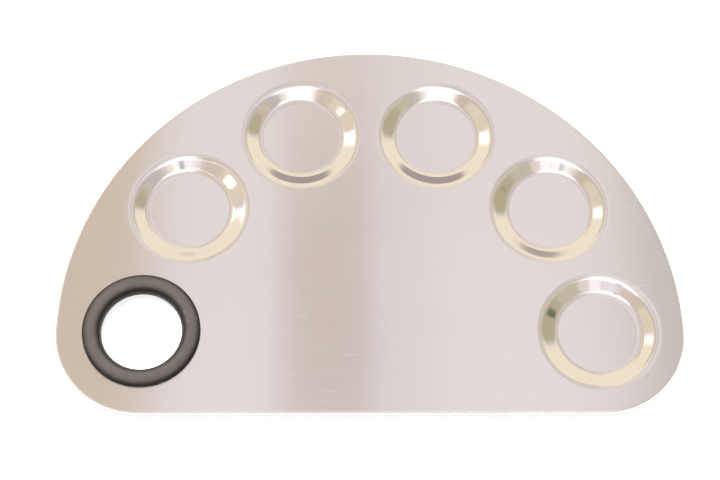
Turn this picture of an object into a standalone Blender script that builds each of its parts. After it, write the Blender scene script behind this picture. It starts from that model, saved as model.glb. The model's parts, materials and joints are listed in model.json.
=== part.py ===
"""Half-moon mixing palette: a pressed stainless steel sheet and a rubber thumb grommet.

Metres, +Z up. The origin is under the middle of the palette, on the surface it lies on.
The straight front edge faces -Y and the thumb hole is at -X.
"""
import math

import bmesh
import bpy

# Driving dimensions, in metres.
PLATE_RADIUS = 0.120        # the arc at the back of the plate
SHEET_THICKNESS = 0.0016
EDGE_ROUND = 0.0007         # rounding on every cut edge of the sheet
EDGE_LAND = 0.0087          # flat left between a cup's rim and the plate's edge
CUP_LAND = 0.0059           # flat left between neighbouring cups
CUP_COUNT = 5               # cups along the arc; the thumb hole takes the next place
CUP_DEPTH = 0.0027          # plate's top to cup's floor
CUP_WALL_RUN = 0.0088       # level distance from a cup's rim in to its floor
CUP_RIM_FILLET = 0.0075     # radius where the plate turns down into a cup
CUP_FLOOR_FILLET = 0.0060   # radius where a cup's wall meets its floor
THUMB_HOLE_RADIUS = 0.01905
GROMMET_WALL = 0.0038       # rubber inside the hole, from its edge to the throat
GROMMET_REACH = 0.0034      # how far the lips cover the plate around the hole
GROMMET_LIP_ROUND = 0.0005  # rounding under the outer edge of each lip

# Clearances.
FIT_GAP = 0.0003            # between the grommet's groove and the sheet
TABLE_GAP = 0.0003          # between the grommet's lower lip and the table

# Facets.
CIRCLE_STEPS = 48           # around a cup, the thumb hole and the grommet
PLATE_ARC_STEPS = 72        # along the plate's half circle
CORNER_STEPS = 18           # along each front corner
FILLET_STEPS = 3            # along each fillet of a cup's section
DOME_STEPS = 6              # along a quarter of the grommet's domed section

# Sizes that follow from them.
STATION_ANGLE = math.pi / CUP_COUNT
HALF_STEP_SINE = math.sin(STATION_ANGLE / 2)
CUP_RIM_RADIUS = ((PLATE_RADIUS - EDGE_LAND) * HALF_STEP_SINE - CUP_LAND / 2) / (1 + HALF_STEP_SINE)
CUP_FLOOR_RADIUS = CUP_RIM_RADIUS - CUP_WALL_RUN
FILLET_ROOM = (CUP_WALL_RUN ** 2 + CUP_DEPTH ** 2) / (2 * CUP_DEPTH)  # the wall has room for no more
FILLET_SHARE = min(1.0, 0.95 * FILLET_ROOM / (CUP_RIM_FILLET + CUP_FLOOR_FILLET))
RIM_FILLET = CUP_RIM_FILLET * FILLET_SHARE
FLOOR_FILLET = CUP_FLOOR_FILLET * FILLET_SHARE
STATION_MARGIN = EDGE_LAND + CUP_RIM_RADIUS    # a cup's centre to the plate's edge
STATION_RADIUS = PLATE_RADIUS - STATION_MARGIN  # the circle that the cups' centres lie on
PLATE_TOP = CUP_DEPTH + SHEET_THICKNESS
PLATE_MIDDLE = CUP_DEPTH + SHEET_THICKNESS / 2
ARC_CENTRE_Y = -(PLATE_RADIUS - STATION_MARGIN) / 2


def clear_scene():
    for item in list(bpy.data.objects):
        bpy.data.objects.remove(item, do_unlink=True)


def new_collection(name):
    collection = bpy.data.collections.new(name)
    bpy.context.scene.collection.children.link(collection)
    return collection


def new_material(name, colour, roughness, metallic):
    material = bpy.data.materials.new(name)
    material.use_nodes = True
    shader = material.node_tree.nodes["Principled BSDF"]
    shader.inputs["Base Color"].default_value = (*colour, 1.0)
    shader.inputs["Roughness"].default_value = roughness
    shader.inputs["Metallic"].default_value = metallic
    return material


def steel_material():
    return new_material("brushed_steel", (0.74, 0.70, 0.68), 0.28, 1.0)


def rubber_material():
    return new_material("black_rubber", (0.045, 0.041, 0.039), 0.55, 0.0)


def arc_points(centre, radius, start, end, steps):
    """Points on an arc, both ends included."""
    points = []
    for step in range(steps + 1):
        angle = start + (end - start) * step / steps
        points.append((centre[0] + radius * math.cos(angle), centre[1] + radius * math.sin(angle)))
    return points


def circle_points(centre, radius):
    return arc_points(centre, radius, 0.0, math.tau, CIRCLE_STEPS)[:-1]


def ellipse_points(centre, half_width, half_height, start, end, steps):
    points = []
    for step in range(steps + 1):
        angle = start + (end - start) * step / steps
        points.append((centre[0] + half_width * math.cos(angle),
                       centre[1] + half_height * math.sin(angle)))
    return points


def station(index):
    """Centre of a place on the station circle, counted from the +X end of the plate."""
    angle = STATION_ANGLE * index
    return (STATION_RADIUS * math.cos(angle), ARC_CENTRE_Y + STATION_RADIUS * math.sin(angle))


def plate_outline():
    """Half circle at the back, with corners concentric with the places at its two ends."""
    right, left = station(0), station(CUP_COUNT)
    quarter = math.pi / 2
    outline = arc_points((0.0, ARC_CENTRE_Y), PLATE_RADIUS, 0.0, math.pi, PLATE_ARC_STEPS)
    outline += arc_points(left, STATION_MARGIN, math.pi, math.pi + quarter, CORNER_STEPS)[1:]
    outline += arc_points(right, STATION_MARGIN, -quarter, 0.0, CORNER_STEPS)[:-1]
    return outline


def add_outline(curve, points):
    spline = curve.splines.new("POLY")
    spline.points.add(len(points) - 1)
    for point, (x, y) in zip(spline.points, points):
        point.co = (x, y, 0.0, 1.0)
    spline.use_cyclic_u = True


def evaluated_mesh(item):
    """The mesh that an object's modifiers or curve settings make."""
    bpy.context.view_layer.update()
    depsgraph = bpy.context.evaluated_depsgraph_get()
    return bpy.data.meshes.new_from_object(item.evaluated_get(depsgraph))


def flat_sheet_mesh():
    """The plate's flat top, open where the cups and the thumb hole go."""
    curve = bpy.data.curves.new("plate_outline", "CURVE")
    curve.dimensions = "2D"
    curve.fill_mode = "BOTH"
    add_outline(curve, plate_outline())
    for index in range(CUP_COUNT):
        add_outline(curve, circle_points(station(index), CUP_RIM_RADIUS))
    add_outline(curve, circle_points(station(CUP_COUNT), THUMB_HOLE_RADIUS))
    item = bpy.data.objects.new("plate_outline", curve)
    bpy.context.scene.collection.objects.link(item)
    mesh = evaluated_mesh(item)
    bpy.data.objects.remove(item, do_unlink=True)
    return mesh


def cup_wall_angle():
    """Slope of the straight wall that joins the two fillets of a cup's section."""
    fillets = RIM_FILLET + FLOOR_FILLET
    rise = fillets - CUP_DEPTH
    return math.atan2(CUP_WALL_RUN, rise) - math.acos(fillets / math.hypot(CUP_WALL_RUN, rise))


def cup_profile():
    """Section of a cup's inside, from its axis out to its rim; the plate's top is z = 0."""
    slope = cup_wall_angle()
    down = -math.pi / 2
    floor_centre = (CUP_FLOOR_RADIUS, FLOOR_FILLET - CUP_DEPTH)
    rim_centre = (CUP_RIM_RADIUS, -RIM_FILLET)
    profile = [(0.0, -CUP_DEPTH)]
    profile += arc_points(floor_centre, FLOOR_FILLET, down, down + slope, FILLET_STEPS)
    profile += arc_points(rim_centre, RIM_FILLET, -down + slope, -down, FILLET_STEPS)
    return profile


def turned_object(name, profile, closed):
    """A section in the XZ plane, turned about the object's Z axis."""
    vertices = [(x, 0.0, z) for x, z in profile]
    edges = [(index, index + 1) for index in range(len(profile) - 1)]
    if closed:
        edges.append((len(profile) - 1, 0))
    mesh = bpy.data.meshes.new(name)
    mesh.from_pydata(vertices, edges, [])
    item = bpy.data.objects.new(name, mesh)
    bpy.context.scene.collection.objects.link(item)
    screw = item.modifiers.new("turn", "SCREW")
    screw.axis = "Z"
    screw.angle = math.tau
    screw.steps = CIRCLE_STEPS
    screw.render_steps = CIRCLE_STEPS
    screw.use_merge_vertices = True
    screw.merge_threshold = 0.00001
    screw.use_normal_calculate = False
    return item


def pressed_sheet_mesh():
    """Flat sheet and cups joined into one open surface, the plate's upper side."""
    flat = flat_sheet_mesh()
    cup = turned_object("cup", cup_profile(), closed=False)
    cup_mesh = evaluated_mesh(cup)
    bpy.data.objects.remove(cup, do_unlink=True)

    surface = bmesh.new()
    surface.from_mesh(flat)
    bmesh.ops.recalc_face_normals(surface, faces=surface.faces)
    if sum(face.normal.z * face.calc_area() for face in surface.faces) < 0:
        bmesh.ops.reverse_faces(surface, faces=surface.faces)
    for index in range(CUP_COUNT):
        x, y = station(index)
        before = len(surface.verts)
        surface.from_mesh(cup_mesh)
        surface.verts.ensure_lookup_table()
        bmesh.ops.translate(surface, verts=surface.verts[before:], vec=(x, y, 0.0))
    bmesh.ops.remove_doubles(surface, verts=surface.verts, dist=0.00001)

    mesh = bpy.data.meshes.new("palette_plate")
    surface.to_mesh(mesh)
    surface.free()
    bpy.data.meshes.remove(flat)
    bpy.data.meshes.remove(cup_mesh)
    return mesh


def shade(mesh):
    mesh.shade_smooth()
    mesh.set_sharp_from_angle(angle=math.radians(35))


def make_palette_plate(collection):
    mesh = pressed_sheet_mesh()
    mesh.materials.append(steel_material())
    shade(mesh)
    plate = bpy.data.objects.new("palette_plate", mesh)
    plate.location.z = PLATE_TOP
    collection.objects.link(plate)

    sheet = plate.modifiers.new("sheet", "SOLIDIFY")
    sheet.thickness = SHEET_THICKNESS
    sheet.offset = -1.0
    sheet.use_even_offset = True
    sheet.use_quality_normals = True

    edges = plate.modifiers.new("rounded_edges", "BEVEL")
    edges.width = EDGE_ROUND
    edges.segments = 2
    edges.limit_method = "ANGLE"
    edges.angle_limit = math.radians(60)
    return plate


def grommet_outer_side():
    """Outer side of the grommet's upper half, from the crest down to the groove's middle."""
    middle = THUMB_HOLE_RADIUS + (GROMMET_REACH - GROMMET_WALL) / 2
    outside = THUMB_HOLE_RADIUS + GROMMET_REACH
    crest = PLATE_TOP - PLATE_MIDDLE + CUP_DEPTH - TABLE_GAP
    underside = SHEET_THICKNESS / 2 + FIT_GAP
    widest = underside + GROMMET_LIP_ROUND
    groove = THUMB_HOLE_RADIUS - FIT_GAP
    quarter = math.pi / 2
    side = ellipse_points((middle, widest), outside - middle, crest - widest, quarter, 0.0, DOME_STEPS)
    side += arc_points((outside - GROMMET_LIP_ROUND, widest), GROMMET_LIP_ROUND, 0.0, -quarter, 2)[1:]
    side.append((groove, underside))
    return side


def grommet_inner_side():
    """Inner side of the grommet, from its lower crest round the throat to its upper crest."""
    throat = THUMB_HOLE_RADIUS - GROMMET_WALL
    middle = THUMB_HOLE_RADIUS + (GROMMET_REACH - GROMMET_WALL) / 2
    crest = PLATE_TOP - PLATE_MIDDLE + CUP_DEPTH - TABLE_GAP
    side = ellipse_points((middle, 0.0), middle - throat, crest, -math.pi / 2, -1.5 * math.pi,
                          2 * DOME_STEPS)
    return side[1:-1]


def make_thumb_grommet(collection):
    upper = grommet_outer_side()
    lower = [(x, -z) for x, z in reversed(upper)]
    grommet = turned_object("thumb_grommet", upper + lower + grommet_inner_side(), closed=True)
    bpy.context.scene.collection.objects.unlink(grommet)
    collection.objects.link(grommet)
    grommet.location = (*station(CUP_COUNT), PLATE_MIDDLE)
    grommet.data.materials.append(rubber_material())
    grommet.modifiers["turn"].use_smooth_shade = True
    return grommet


def main():
    clear_scene()
    palette = new_collection("mixing_palette")
    make_palette_plate(palette)
    make_thumb_grommet(palette)


main()
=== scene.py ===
import json
import math

import bpy
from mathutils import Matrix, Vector
from mathutils.geometry import delaunay_2d_cdt


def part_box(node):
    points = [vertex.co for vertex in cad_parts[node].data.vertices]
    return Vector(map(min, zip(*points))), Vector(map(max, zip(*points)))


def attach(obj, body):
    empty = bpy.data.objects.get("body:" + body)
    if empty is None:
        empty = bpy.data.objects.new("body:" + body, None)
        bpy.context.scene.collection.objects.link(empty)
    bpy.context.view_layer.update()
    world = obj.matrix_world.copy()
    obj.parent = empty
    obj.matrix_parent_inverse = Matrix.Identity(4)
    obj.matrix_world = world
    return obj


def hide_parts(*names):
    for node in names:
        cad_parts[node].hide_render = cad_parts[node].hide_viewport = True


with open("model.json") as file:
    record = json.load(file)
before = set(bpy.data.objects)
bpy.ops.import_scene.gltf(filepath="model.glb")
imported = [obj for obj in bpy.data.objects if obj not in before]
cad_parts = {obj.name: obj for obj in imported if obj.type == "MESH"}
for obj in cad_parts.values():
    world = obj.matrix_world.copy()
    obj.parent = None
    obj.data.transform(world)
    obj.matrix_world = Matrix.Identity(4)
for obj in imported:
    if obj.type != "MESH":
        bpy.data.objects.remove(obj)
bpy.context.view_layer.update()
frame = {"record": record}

# Places and sizes read from the frame. Metres, with the plate lying flat and its arc at +Y.
_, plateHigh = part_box("palette_plate")
ringLow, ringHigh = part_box("thumb_grommet")
openings = {}
for opening in frame["record"]["physics"]["openings"]:
    low, high = opening["box_m"]
    openings[opening["name"]] = ((low[0] + high[0]) / 2, (low[1] + high[1]) / 2)
cupCentres = [openings[name] for name in sorted(openings) if name.startswith("cup")]
thumbCentre = openings["thumb_hole"]
plateTop = plateHigh.z
plateRadius = plateHigh.x
arcCentreY = thumbCentre[1]
stationMargin = plateRadius - abs(thumbCentre[0])    # from the middle of a cup to the arc
print("frame loaded:", len(cupCentres), "cups, plate top at", round(plateTop * 1000, 2), "mm")


class Wire:
    # a shader socket that ordinary arithmetic works on
    def __init__(self, graph, socket):
        self.graph = graph
        self.socket = socket

    def __add__(self, other):
        return self.graph.maths("ADD", self, other)

    def __sub__(self, other):
        return self.graph.maths("SUBTRACT", self, other)

    def __rsub__(self, other):
        return self.graph.maths("SUBTRACT", other, self)

    def __mul__(self, other):
        return self.graph.maths("MULTIPLY", self, other)

    __radd__ = __add__
    __rmul__ = __mul__


class Graph:
    # the nodes of one material or world
    def __init__(self, owner):
        owner.use_nodes = True
        self.tree = owner.node_tree
        self.tree.nodes.clear()

    def add(self, kind, settings=None, inputs=None, output=0):
        node = self.tree.nodes.new(kind)
        for name, value in (settings or {}).items():
            setattr(node, name, value)
        for name, value in (inputs or {}).items():
            if isinstance(value, Wire):
                self.tree.links.new(value.socket, node.inputs[name])
            else:
                node.inputs[name].default_value = value
        return Wire(self, node.outputs[output]) if len(node.outputs) else node

    def maths(self, operation, first, second=0.0, third=0.0):
        return self.add("ShaderNodeMath", {"operation": operation}, {0: first, 1: second, 2: third})

    def ramp(self, value, start, end):
        # 0 at start, 1 at end, eased between
        return self.add("ShaderNodeMapRange", {"interpolation_type": "SMOOTHSTEP"},
                        {"Value": value, "From Min": start, "From Max": end})

    def split(self, value):
        node = self.add("ShaderNodeSeparateXYZ", None, {"Vector": value}).socket.node
        return [Wire(self, node.outputs[axis]) for axis in ("X", "Y", "Z")]

    def vector(self, operation, first, second):
        return self.add("ShaderNodeVectorMath", {"operation": operation}, {0: first, 1: second})

    def mixColour(self, share, first, second):
        return self.add("ShaderNodeMix", {"data_type": "RGBA"}, {0: share, 6: first, 7: second}, 2)

    def noise(self, place, stretch, detail=2.0, roughness=0.5):
        # stretch is the number of features in a metre, along X, Y and Z
        scaled = self.vector("MULTIPLY", place, stretch)
        return self.add("ShaderNodeTexNoise", None,
                        {"Vector": scaled, "Scale": 1.0, "Detail": detail, "Roughness": roughness})

    def surface(self, shader):
        self.add("ShaderNodeOutputMaterial", None, {"Surface": shader})


def rgba(colour):
    return (*colour, 1.0)


def link(item):
    bpy.context.scene.collection.objects.link(item)
    return item


def arc(centre, radius, start, end, steps):
    points = []
    for step in range(steps + 1):
        angle = start + (end - start) * step / steps
        points.append((centre[0] + radius * math.cos(angle), centre[1] + radius * math.sin(angle)))
    return points


cameraLook = {
    "place": (-0.0192, -0.2723, 0.6382),
    "turn": (0.39760, -0.02099, -0.00754),
    "lens": 88.34,
    "sensor": 36.0,
    "near": 0.01,
    "far": 50.0,
}


def makeCamera(look):
    data = bpy.data.cameras.new("mainCamera")
    data.lens = look["lens"]
    data.sensor_width = look["sensor"]
    data.clip_start = look["near"]
    data.clip_end = look["far"]
    camera = link(bpy.data.objects.new("mainCamera", data))
    camera.location = look["place"]
    camera.rotation_euler = look["turn"]
    bpy.context.scene.camera = camera
    print("camera placed")


plateLook = {
    "sheet": 0.0016,              # thickness of the steel
    "edgeRound": 0.0007,          # rounding on the cut edges
    "cupDepth": 0.0027,
    "cupWallRun": 0.0088,         # from a cup's rim in to its floor
    "cupRimFillet": 0.0075,
    "cupFloorFillet": 0.0060,
    "edgeLand": 0.0087,           # flat between a cup's rim and the plate's edge
    "thumbHole": 0.01905,
    "cupSides": 160,
    "holeSides": 128,
    "arcSides": 240,
    "cornerSides": 60,
    "frontSpans": 90,
    "edgeSteps": 6,
    "edgeLands": (4.0, 1.6),      # flat beside an edge, in edge roundings, from the far line to the near
    "floorSteps": 10,
    "wallSteps": 4,
    "rimSteps": 12,
    "floorRings": (0.25, 0.5, 0.75, 0.9, 0.975),    # shares of the floor's radius
    "rimLands": (0.0004, 0.0018),  # flat outside a cup's rim
    "gridStep": 0.0042,           # spacing of the points that fill the flats
    "gridClear": 0.8,             # kept free beside an edge, in steps of the grid
    "mergeDistance": 1e-7,
}


def plateOutline(look, inset):
    # half circle at the back, then two corners concentric with the thumb hole and the end cup
    right = (-thumbCentre[0], thumbCentre[1])
    corner = stationMargin - inset
    quarter = math.pi / 2
    points = arc((0.0, arcCentreY), plateRadius - inset, 0.0, math.pi, look["arcSides"])
    points += arc(thumbCentre, corner, math.pi, math.pi + quarter, look["cornerSides"])[1:]
    startX, y = points[-1]
    spans = look["frontSpans"]    # the straight front edge, in steps like those of the corners
    points += [(startX + (right[0] - startX) * step / spans, y) for step in range(1, spans)]
    points += arc(right, corner, -quarter, 0.0, look["cornerSides"])[:-1]
    return points


def circle(centre, radius, sides):
    return arc(centre, radius, 0.0, math.tau, sides)[:-1]


def edgeSection(look):
    # (inset from the cut edge, height) from the flat top, round the edge, to the flat underside
    rounding = look["edgeRound"]
    bottom = plateTop - look["sheet"]
    insets = [share * rounding for share in look["edgeLands"]]
    section = [(inset, plateTop) for inset in insets]
    section += arc((rounding, plateTop - rounding), rounding, math.pi / 2, math.pi, look["edgeSteps"])
    section += arc((rounding, bottom + rounding), rounding, math.pi, 1.5 * math.pi, look["edgeSteps"])
    return section + [(inset, bottom) for inset in reversed(insets)]


def cupSection(look):
    # the cup's upper face from its floor out to its rim: (radius, height over the plate's top)
    # for each ring, and the slope at each
    run, depth = look["cupWallRun"], look["cupDepth"]
    rimFillet, floorFillet = look["cupRimFillet"], look["cupFloorFillet"]
    fillets = rimFillet + floorFillet
    steepest = math.atan2(run, fillets - depth) - math.acos(fillets / math.hypot(run, fillets - depth))
    rimRadius = stationMargin - look["edgeLand"]
    floorRadius = rimRadius - run
    down = -math.pi / 2
    floorSteps, wallSteps, rimSteps = look["floorSteps"], look["wallSteps"], look["rimSteps"]
    floorArc = arc((floorRadius, floorFillet - depth), floorFillet, down, down + steepest, floorSteps)
    rimArc = arc((rimRadius, -rimFillet), rimFillet, steepest - down, -down, rimSteps)
    (startX, startZ), (endX, endZ) = floorArc[-1], rimArc[0]
    wall = []
    for step in range(1, wallSteps):
        share = step / wallSteps
        wall.append((startX + (endX - startX) * share, startZ + (endZ - startZ) * share))
    slopes = [steepest * step / floorSteps for step in range(floorSteps + 1)]
    slopes += [steepest] * len(wall)
    slopes += [steepest * (1 - step / rimSteps) for step in range(rimSteps + 1)]
    return floorArc + wall + rimArc, slopes


def offsetSection(section, slopes, thickness):
    # the same section on the other side of the sheet
    return [(x + thickness * math.sin(slope), z - thickness * math.cos(slope))
            for (x, z), slope in zip(section, slopes)]


class Skin:
    # collects rings of points and the faces between them
    def __init__(self):
        self.points = []
        self.faces = []
        self.marks = []           # how steep each point's slope is, as a share of the cup walls'

    def ring(self, outline, height, mark=0.0):
        start = len(self.points)
        self.points += [(x, y, height) for x, y in outline]
        self.marks += [mark] * len(outline)
        return list(range(start, len(self.points)))

    def band(self, upper, lower):
        count = len(upper)
        for i in range(count):
            j = (i + 1) % count
            self.faces.append((upper[i], lower[i], lower[j], upper[j]))

    def disc(self, ring, centre, height, flip):
        middle = len(self.points)
        self.points.append((*centre, height))
        self.marks.append(0.0)
        for i in range(len(ring)):
            j = (i + 1) % len(ring)
            self.faces.append((ring[j], ring[i], middle) if flip else (ring[i], ring[j], middle))

    def flat(self, outer, holes, height, flip, step):
        # an even mesh between one outer ring and the rings inside it
        flatPoints = []
        indices = []
        edges = []
        for loop in [outer] + holes:
            first = len(flatPoints)
            for index in loop:
                flatPoints.append(Vector(self.points[index][:2]))
                indices.append(index)
            edges += [(first + i, first + (i + 1) % len(loop)) for i in range(len(loop))]
        known = len(flatPoints)
        flatPoints += self.gridPoints(outer, holes, step)
        insideOnly = 1                # the triangulation keeps what the outer ring encloses
        verts, _, faces, origins, _, _ = delaunay_2d_cdt(
            flatPoints, edges, [], insideOnly, plateLook["mergeDistance"])
        circles = [self.circleOf(loop) for loop in holes]
        lookup = []
        for vert, origin in zip(verts, origins):
            old = [i for i in origin if i < known]
            if old:                   # a point of one of the rings, which the flat shares
                lookup.append(indices[old[0]])
            else:
                lookup.append(len(self.points))
                self.points.append((vert.x, vert.y, height))
                self.marks.append(0.0)
        for face in faces:            # those that would close a hole are left out
            middle = sum((verts[i] for i in face), Vector((0, 0))) / len(face)
            if any((middle - centre).length < radius for centre, radius in circles):
                continue
            corners = [lookup[i] for i in face]
            self.faces.append(tuple(reversed(corners)) if flip else tuple(corners))

    def circleOf(self, loop):
        # a ring's centre, and the largest radius that stays inside its straight sides
        points = [Vector(self.points[index][:2]) for index in loop]
        centre = sum(points, Vector((0, 0))) / len(points)
        return centre, (points[0] - centre).length * math.cos(math.pi / len(points))

    def gridPoints(self, outer, holes, step):
        # a triangular grid that keeps clear of the outline and the holes
        circles = [self.circleOf(loop) for loop in holes]
        border = [Vector(self.points[index][:2]) for index in outer]
        highX, highY = max(p.x for p in border), max(p.y for p in border)
        lowY = min(p.y for p in border)
        clear = plateLook["gridClear"] * step
        cornerReach = stationMargin - (plateRadius - highX) - clear
        found = []
        row = 0
        y = lowY + step
        while y < highY:
            x = step * (0.5 if row % 2 else 1.0) - highX
            while x < highX:
                point = Vector((x, y))
                inArc = (point - Vector((0, arcCentreY))).length < highX - clear
                side = Vector((max(abs(x) - abs(thumbCentre[0]), 0), min(y - thumbCentre[1], 0)))
                apart = all((point - centre).length > radius + clear for centre, radius in circles)
                if inArc and side.length < cornerReach and apart:
                    found.append(point)
                x += step
            y += step * math.sqrt(3) / 2
            row += 1
        return found

    def make(self, name):
        mesh = bpy.data.meshes.new(name)
        mesh.from_pydata(self.points, [], self.faces)
        mesh.validate()
        marks = mesh.attributes.new("pressed", "FLOAT", "POINT")
        marks.data.foreach_set("value", self.marks)
        mesh.shade_smooth()
        return link(bpy.data.objects.new(name, mesh))


def cupRings(skin, look, centre, section, slopes):
    # the rings of one face of a cup, from the middle of its floor out to the flat
    (floorRadius, floorHeight), (rimRadius, rimHeight) = section[0], section[-1]
    inner = [(floorRadius * share, floorHeight) for share in look["floorRings"]]
    land = [(rimRadius + reach, rimHeight) for reach in look["rimLands"]]
    marks = [0.0] * len(inner) + [slope / max(slopes) for slope in slopes] + [0.0] * len(land)
    rings = []
    for (radius, z), mark in zip(inner + section + land, marks):
        rings.append(skin.ring(circle(centre, radius, look["cupSides"]), plateTop + z, mark))
    return rings


def makePlate(look):
    skin = Skin()
    section = edgeSection(look)
    outlineRings = [skin.ring(plateOutline(look, inset), z) for inset, z in section]
    for upper, lower in zip(outlineRings, outlineRings[1:]):
        skin.band(upper, lower)
    holeRings = [skin.ring(circle(thumbCentre, look["thumbHole"] + inset, look["holeSides"]), z)
                 for inset, z in section]
    for upper, lower in zip(holeRings, holeRings[1:]):
        skin.band(lower, upper)

    above, slopes = cupSection(look)
    below = offsetSection(above, slopes, look["sheet"])
    upperRims, lowerRims = [], []
    for centre in cupCentres:
        upperRings = cupRings(skin, look, centre, above, slopes)
        for near, far in zip(upperRings, upperRings[1:]):
            skin.band(near, far)
        skin.disc(upperRings[0], centre, plateTop + above[0][1], False)
        lowerRings = cupRings(skin, look, centre, below, slopes)
        for near, far in zip(lowerRings, lowerRings[1:]):
            skin.band(far, near)
        skin.disc(lowerRings[0], centre, plateTop + below[0][1], True)
        upperRims.append(upperRings[-1])
        lowerRims.append(lowerRings[-1])

    step = look["gridStep"]
    skin.flat(outlineRings[0], [holeRings[0]] + upperRims, plateTop, False, step)
    skin.flat(outlineRings[-1], [holeRings[-1]] + lowerRims, plateTop - look["sheet"], True, step)
    plate = skin.make("palettePlate")
    print("plate:", len(plate.data.vertices), "points,", len(plate.data.polygons), "faces")
    return plate


ringLook = {
    "reach": 0.0034,              # how far the lips cover the plate
    "wall": 0.0038,               # rubber inside the hole
    "gap": 0.0003,                # between the groove and the sheet
    "lipRound": 0.0005,
    "grooveEdges": (0.0008, 0.0001),    # rings beside the groove's corner, to keep it crisp
    "sides": 192,
    "domeSteps": 14,
    "lipSteps": 5,
    "throatSteps": 28,
}


def ringSection(look):
    # (radius, height over the sheet's middle) round the outside, the groove and the throat
    hole, sheet = plateLook["thumbHole"], plateLook["sheet"]
    middle = hole + (look["reach"] - look["wall"]) / 2
    outside, throat, groove = hole + look["reach"], hole - look["wall"], hole - look["gap"]
    crest = (ringHigh.z - ringLow.z) / 2
    underside = sheet / 2 + look["gap"]
    lip = look["lipRound"]
    widest = underside + lip
    upper = []
    for x, z in arc((0, 0), 1.0, math.pi / 2, 0.0, look["domeSteps"]):
        upper.append((middle + (outside - middle) * x, widest + (crest - widest) * z))
    upper += arc((outside - lip, widest), lip, 0.0, -math.pi / 2, look["lipSteps"])[1:]
    upper += [(groove + edge, underside) for edge in look["grooveEdges"]]
    upper.append((groove, underside - look["grooveEdges"][-1]))
    lower = [(x, -z) for x, z in reversed(upper)]
    throatArc = arc((0, 0), 1.0, -math.pi / 2, -1.5 * math.pi, look["throatSteps"])[1:-1]
    return upper + lower + [(middle + (middle - throat) * x, crest * z) for x, z in throatArc]


def makeRing(look):
    section = ringSection(look)
    middleZ = (ringHigh.z + ringLow.z) / 2
    skin = Skin()
    rings = []
    for radius, z in section:
        rings.append(skin.ring(circle(thumbCentre, radius, look["sides"]), middleZ + z))
    for upper, lower in zip(rings, rings[1:] + rings[:1]):
        skin.band(upper, lower)
    ring = skin.make("thumbGrommet")
    print("grommet:", len(ring.data.vertices), "points")
    return ring


steelLook = {
    "colour": (0.74, 0.70, 0.68),
    "cloudShade": 0.975,          # colour left in the darker clouds
    "cloudScale": 22,             # patches in a metre
    "flatRoughness": 0.19,
    "wallRoughness": 0.095,       # where the pressing has burnished it
    "rimRoughness": 0.2,          # added where a cup's wall begins
    "flatCloudRoughness": 0.04,
    "wallCloudRoughness": 0.05,
    "grain": 1.0,                 # how much more the brushing blurs across its lines than along them
    "wallRange": (0.0, 0.4),      # slopes, as shares of the steepest, where the brushing gives out
    "polishRange": (0.1, 0.9),    # and where the burnishing sets in
    "hairline": (30, 2400, 2400),  # brushing marks in a metre, along X, Y and Z
    "hairlineDepth": 0.0000035,
    "hairlineRoughness": 0.05,
    "scratch": (90, 1700, 1700),
    "scratchShift": (3.1, 0.7, 0),
    "scratchRange": (0.71, 0.79),
    "scratchDepth": 0.0000030,
    "scratchTint": 1.12,
    "scratchShare": 0.3,
    "scratchRoughness": 0.05,
    "speckSpacing": 0.011,
    "speckSize": 0.00022,
    "speckCore": 0.4,             # share of its size where a speck is at its darkest
    "speckRange": (0.82, 0.84),   # about one cell in six has a mark
    "speckColour": (0.16, 0.14, 0.13),
    "speckShare": 0.75,
    "ripple": 110,                # waves in a metre on the pressed walls
    "rippleDepth": 0.000018,
    "tangentCentre": (-500, 0, 0),    # so far off that the brushing lies straight along X
}

rubberLook = {
    "colour": (0.040, 0.036, 0.033),
    "shade": 0.14,                # painted shade: how much of its colour is left away from the crest, below the painted highlight
    "crestDepth": 0.0012,         # how far down from the top the painted highlight on the crest reaches
    "cloudScale": 150,
    "cloudShades": (0.8, 1.25),
    "scuff": (0.15, 0.145, 0.14),
    "scuffScale": 420,
    "scuffShift": (0.4, 1.9, 0),
    "scuffRange": (0.64, 0.78),
    "scuffShare": 0.5,
    "roughness": 0.46,
    "cloudRoughness": 0.15,
    "scuffRoughness": 0.1,
    "specular": 0.28,
    "grain": 2600,                # moulded grain in a metre
    "grainDepth": 0.000012,
}


def tinted(colour, share):
    return rgba([min(1.0, part * share) for part in colour])


def specks(graph, place, look):
    # small round marks
    spacing, size = look["speckSpacing"], look["speckSize"]
    node = graph.add("ShaderNodeTexVoronoi", None, {"Vector": place, "Scale": 1 / spacing}).socket.node
    distance, tint = Wire(graph, node.outputs["Distance"]), Wire(graph, node.outputs["Color"])
    pick, _, _ = graph.split(tint)
    mark = graph.ramp(distance, size / spacing, size * look["speckCore"] / spacing)
    return mark * graph.ramp(pick, *look["speckRange"])


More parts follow.
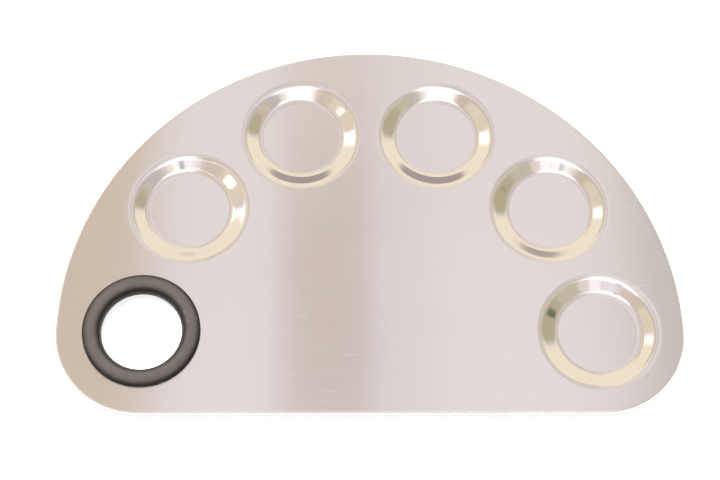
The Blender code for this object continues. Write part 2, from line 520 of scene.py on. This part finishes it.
def steelMaterial(look):
    material = bpy.data.materials.new("brushedSteel")
    graph = Graph(material)
    place = graph.add("ShaderNodeTexCoord", None, None, "Object")
    pressed = graph.add("ShaderNodeAttribute", {"attribute_name": "pressed"}, None, "Fac")
    wall = graph.ramp(pressed, *look["wallRange"])
    polish = graph.ramp(pressed, *look["polishRange"])

    hairline = graph.noise(place, look["hairline"], detail=3.0, roughness=0.6)
    cloud = graph.noise(place, (look["cloudScale"],) * 3, detail=3.0)
    scratchPlace = graph.vector("ADD", place, look["scratchShift"])
    scratchField = graph.noise(scratchPlace, look["scratch"], detail=1.0, roughness=0.4)
    scratch = graph.ramp(scratchField, *look["scratchRange"])
    speck = specks(graph, place, look)

    height = hairline * look["hairlineDepth"] - scratch * look["scratchDepth"]
    flatBump = graph.add("ShaderNodeBump", None, {"Distance": 1.0, "Height": height}, "Normal")
    ripple = graph.noise(place, (look["ripple"],) * 3) * look["rippleDepth"]
    wallBump = graph.add("ShaderNodeBump", None, {"Distance": 1.0, "Height": ripple}, "Normal")

    colour = look["colour"]
    tone = graph.mixColour(cloud, tinted(colour, look["cloudShade"]), rgba(colour))
    tone = graph.mixColour(scratch * look["scratchShare"], tone, tinted(colour, look["scratchTint"]))
    tone = graph.mixColour(speck * look["speckShare"], tone, rgba(look["speckColour"]))
    flatRoughness = look["flatRoughness"] + (hairline - 0.5) * look["hairlineRoughness"]
    flatRoughness += (cloud - 0.5) * look["flatCloudRoughness"] + scratch * look["scratchRoughness"]
    wallRoughness = look["wallRoughness"] + (1 - polish) * look["rimRoughness"]
    wallRoughness += (cloud - 0.5) * look["wallCloudRoughness"]
    flat = graph.add("ShaderNodeBsdfPrincipled", None, {
        "Base Color": tone, "Metallic": 1.0, "Anisotropic": look["grain"],
        "Roughness": flatRoughness, "Normal": flatBump})
    burnished = graph.add("ShaderNodeBsdfPrincipled", None, {
        "Base Color": tone, "Metallic": 1.0, "Roughness": wallRoughness, "Normal": wallBump})
    graph.surface(graph.add("ShaderNodeMixShader", None, {0: wall, 1: flat, 2: burnished}))
    return material


def rubberMaterial(look):
    material = bpy.data.materials.new("blackRubber")
    graph = Graph(material)
    place = graph.add("ShaderNodeTexCoord", None, None, "Object")
    grain = graph.noise(place, (look["grain"],) * 3) * look["grainDepth"]
    bump = graph.add("ShaderNodeBump", None, {"Distance": 1.0, "Height": grain}, "Normal")
    cloud = graph.noise(place, (look["cloudScale"],) * 3, detail=3.0)
    scuffPlace = graph.vector("ADD", place, look["scuffShift"])
    scuffField = graph.noise(scuffPlace, (look["scuffScale"],) * 3, detail=3.0, roughness=0.6)
    scuff = graph.ramp(scuffField, *look["scuffRange"])

    middle = (ringHigh.z + ringLow.z) / 2
    top = ringHigh.z - middle
    _, _, height = graph.split(place)
    # painted highlight: 1 along the top of the ring, 0 from the highlight's depth down
    crest = graph.ramp(graph.maths("ABSOLUTE", height - middle), top - look["crestDepth"], top)

    colour = look["colour"]
    dark, light = look["cloudShades"]
    tone = graph.mixColour(cloud, tinted(colour, dark), tinted(colour, light))
    tone = graph.mixColour(scuff * look["scuffShare"], tone, rgba(look["scuff"]))
    # painted highlight along the crest and painted shade on the sides and in the throat, which keep only a
    # small share of the colour
    tone = graph.mixColour(crest * crest, tinted(colour, look["shade"]), tone)
    roughness = look["roughness"] + (cloud - 0.5) * look["cloudRoughness"] + scuff * look["scuffRoughness"]
    graph.surface(graph.add("ShaderNodeBsdfPrincipled", None, {
        "Base Color": tone, "Roughness": roughness,
        "Specular IOR Level": look["specular"], "Normal": bump}))
    return material


studioLook = {
    "floor": (0.62, 0.60, 0.58),
    "floorGlow": 0.80,            # added where the camera sees the floor
    "floorSize": 6.0,
    "floorHeight": -0.00002,      # just under the cups, which stand on it
    "white": (1.0, 1.0, 1.0),
    "fill": (0.30, 0.29, 0.30),   # what the sky gives to matt surfaces
    "keyStrength": 14.0,
    "keyColour": (1.0, 0.96, 0.92),
    "keySpread": 30,
    "keyFrom": (-25, 66),         # azimuth and elevation
    "zenith": (1.005, 0.975, 1.03),
    "horizon": (0.80, 0.74, 0.68),
    "horizonTop": 25,             # degrees above the floor where the horizon's tone ends
}


def makeCard(card):
    # a soft-edged card that only shows in reflections
    halfX, halfY = (side / 2 for side in card["size"])
    mesh = bpy.data.meshes.new(card["name"])
    corners = [(-halfX, -halfY, 0), (halfX, -halfY, 0), (halfX, halfY, 0), (-halfX, halfY, 0)]
    mesh.from_pydata(corners, [], [(0, 1, 2, 3)])
    material = bpy.data.materials.new(card["name"])
    graph = Graph(material)
    x, y, _ = graph.split(graph.add("ShaderNodeTexCoord", None, None, "Object"))
    fadeX, fadeY = card["fade"]
    share = graph.ramp(graph.maths("ABSOLUTE", x), halfX, halfX - fadeX)
    share = share * graph.ramp(graph.maths("ABSOLUTE", y), halfY, halfY - fadeY)
    clear = graph.add("ShaderNodeBsdfTransparent")
    glow = graph.add("ShaderNodeEmission", None, {"Color": rgba(card["colour"])})
    graph.surface(graph.add("ShaderNodeMixShader", None, {0: share, 1: clear, 2: glow}))
    mesh.materials.append(material)
    item = link(bpy.data.objects.new(card["name"], mesh))
    item.location = card["place"]
    if card.get("upright"):
        item.rotation_euler = (math.pi / 2, math.radians(card["tilt"]), 0)
    item.visible_camera = False
    item.visible_diffuse = False
    item.visible_transmission = False
    item.visible_shadow = False


def makeFloor(look):
    bpy.ops.mesh.primitive_plane_add(size=look["floorSize"], location=(0, 0, look["floorHeight"]))
    floor = bpy.context.object
    floor.name = "studioFloor"
    material = bpy.data.materials.new("paleFloor")
    graph = Graph(material)
    seen = graph.add("ShaderNodeLightPath", None, None, "Is Camera Ray")
    paper = graph.add("ShaderNodeBsdfDiffuse", None, {"Color": rgba(look["floor"])})
    glow = graph.add("ShaderNodeEmission", None,
                     {"Color": rgba(look["white"]), "Strength": look["floorGlow"]})
    lit = graph.add("ShaderNodeAddShader", None, {0: paper, 1: glow})
    graph.surface(graph.add("ShaderNodeMixShader", None, {0: seen, 1: paper, 2: lit}))
    floor.data.materials.append(material)


# What surrounds the plate, from the first to the last painted over it. Angles are in degrees:
# the azimuth runs from the back (+Y) towards the right, the elevation up from the floor.
skyZones = [
    {"azimuth": 180, "across": 65, "elevation": 28, "up": 22, "soft": 8, "colour": (0.74, 0.70, 0.67)},
    {"azimuth": -95, "across": 35, "elevation": 20, "up": 14, "soft": 8, "colour": (0.84, 0.80, 0.75)},
    {"azimuth": 0, "across": 52, "elevation": 36, "up": 16, "soft": 8, "colour": (1.18, 1.07, 0.87)},
    {"azimuth": 0, "across": 22, "elevation": 60, "up": 3, "soft": 4, "colour": (0.95, 0.93, 0.98)},
    {"azimuth": 45, "across": 22, "elevation": 59, "up": 6, "soft": 5, "colour": (0.93, 0.86, 0.80)},
    {"azimuth": -45, "across": 22, "elevation": 59, "up": 6, "soft": 5, "colour": (1.02, 0.94, 0.86)},
    {"azimuth": 80, "across": 30, "elevation": 55, "up": 8, "soft": 5, "colour": (0.82, 0.735, 0.63)},
    {"azimuth": 82, "across": 21, "elevation": 34, "up": 14, "soft": 7, "colour": (0.62, 0.57, 0.40)},
    {"azimuth": 118, "across": 14, "elevation": 50, "up": 10, "soft": 7, "colour": (0.73, 0.68, 0.54)},
    {"azimuth": 141, "across": 6, "elevation": 60, "up": 5, "soft": 5, "colour": (1.02, 0.92, 0.86)},
    {"azimuth": 160, "across": 8, "elevation": 62, "up": 5, "soft": 5, "colour": (1.31, 1.28, 1.36)},
    {"azimuth": -172, "across": 10, "elevation": 64, "up": 6, "soft": 5, "colour": (1.1, 1.03, 1.08)},
    {"azimuth": -125, "across": 20, "elevation": 60, "up": 6, "soft": 6, "colour": (0.87, 0.75, 0.66)},
    {"azimuth": -85, "across": 22, "elevation": 50, "up": 9, "soft": 7, "colour": (0.97, 0.86, 0.70)},
    {"azimuth": -54, "across": 2, "elevation": 38, "up": 2, "soft": 8, "colour": (2.6, 2.5, 2.4)},
    {"azimuth": -94, "across": 4, "elevation": 47, "up": 2, "soft": 6, "colour": (2.6, 2.5, 2.4)},
    {"azimuth": 86, "across": 3, "elevation": 37, "up": 2, "soft": 2.5, "colour": (0.16, 0.20, 0.14)},
    {"azimuth": 180, "across": 70, "elevation": 76, "up": 7, "soft": 6, "colour": (1.7, 1.68, 1.65)},
]

# Soft-edged cards that the steel reflects. Sizes and fades are across and along, or up
# for an upright one.
cards = [
    {"name": "middleShade", "place": (-0.0145, 0.2075, 0.634), "size": (0.078, 0.425),
     "fade": (0.009, 0.13), "colour": (0.695, 0.595, 0.54)},
    {"name": "middleHalo", "place": (0.035, 0.230, 0.636), "size": (0.10, 0.6),
     "fade": (0.035, 0.10), "colour": (0.91, 0.885, 0.93)},
    {"name": "leftShade", "place": (-0.215, 0.25, 0.634), "size": (0.18, 0.9),
     "fade": (0.05, 0.1), "colour": (0.80, 0.685, 0.570)},
    {"name": "rightShade", "place": (0.285, 0.25, 0.634), "size": (0.19, 0.9),
     "fade": (0.07, 0.1), "colour": (0.715, 0.666, 0.640)},
    {"name": "lensShade", "place": (-0.019, -0.265, 0.636), "size": (0.07, 0.09),
     "fade": (0.015, 0.015), "colour": (0.54, 0.575, 0.67)},
    {"name": "lowStrip", "place": (0.065, 0.216, 0.040), "size": (0.335, 0.084),
     "fade": (0.006, 0.004), "colour": (0.50, 0.445, 0.44), "upright": True, "tilt": -2.5},
]


def makeSky(look):
    # the base tones first, then every zone over them, then what matt surfaces and the camera see
    world = bpy.data.worlds.new("softStudio")
    bpy.context.scene.world = world
    graph = Graph(world)
    direction = graph.add("ShaderNodeTexCoord", None, None, "Generated")
    x, y, z = graph.split(direction)
    azimuth = graph.maths("ARCTAN2", x, y)
    elevation = graph.maths("ARCSINE", z)
    colour = rgba(look["zenith"])
    low = graph.ramp(elevation, math.radians(look["horizonTop"]), 0.0)
    colour = graph.mixColour(low, colour, rgba(look["horizon"]))
    for zone in skyZones:
        soft = math.radians(zone["soft"])
        turn = graph.maths("WRAP", azimuth - math.radians(zone["azimuth"]), math.pi, -math.pi)
        aside = graph.maths("ABSOLUTE", turn)
        above = graph.maths("ABSOLUTE", elevation - math.radians(zone["elevation"]))
        across, up = math.radians(zone["across"]), math.radians(zone["up"])
        share = graph.ramp(aside, across + soft, across) * graph.ramp(above, up + soft, up)
        colour = graph.mixColour(share, colour, rgba(zone["colour"]))
    matt = graph.add("ShaderNodeLightPath", None, None, "Is Diffuse Ray")
    colour = graph.mixColour(matt, colour, rgba(look["fill"]))
    seen = graph.add("ShaderNodeLightPath", None, None, "Is Camera Ray")
    colour = graph.mixColour(seen, colour, rgba(look["white"]))
    glow = graph.add("ShaderNodeBackground", None, {"Color": colour, "Strength": 1.0})
    graph.add("ShaderNodeOutputWorld", None, {"Surface": glow})


def makeKeyLight(look):
    # soft daylight from the back left, which the steel doesn't mirror
    data = bpy.data.lights.new("windowLight", "SUN")
    data.energy = look["keyStrength"]
    data.color = look["keyColour"]
    data.angle = math.radians(look["keySpread"])
    light = link(bpy.data.objects.new("windowLight", data))
    azimuth, elevation = (math.radians(value) for value in look["keyFrom"])
    aim = Vector((math.sin(azimuth) * math.cos(elevation), math.cos(azimuth) * math.cos(elevation),
                  math.sin(elevation)))
    light.rotation_euler = aim.to_track_quat("Z", "Y").to_euler()
    light.visible_glossy = False


def makeStudio(look):
    makeFloor(look)
    makeSky(look)
    makeKeyLight(look)
    for card in cards:
        makeCard(card)
    print("studio ready")


makeCamera(cameraLook)
makeStudio(studioLook)

plate = makePlate(plateLook)
plate.data.materials.append(steelMaterial(steelLook))
plate.data.use_auto_texspace = False
plate.data.texspace_location = steelLook["tangentCentre"]
plate.data.texspace_size = (1, 1, 1)
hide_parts("palette_plate")
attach(plate, "root")

ring = makeRing(ringLook)
ring.data.materials.append(rubberMaterial(rubberLook))
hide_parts("thumb_grommet")
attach(ring, "root")

bpy.context.scene.view_settings.view_transform = "Standard"
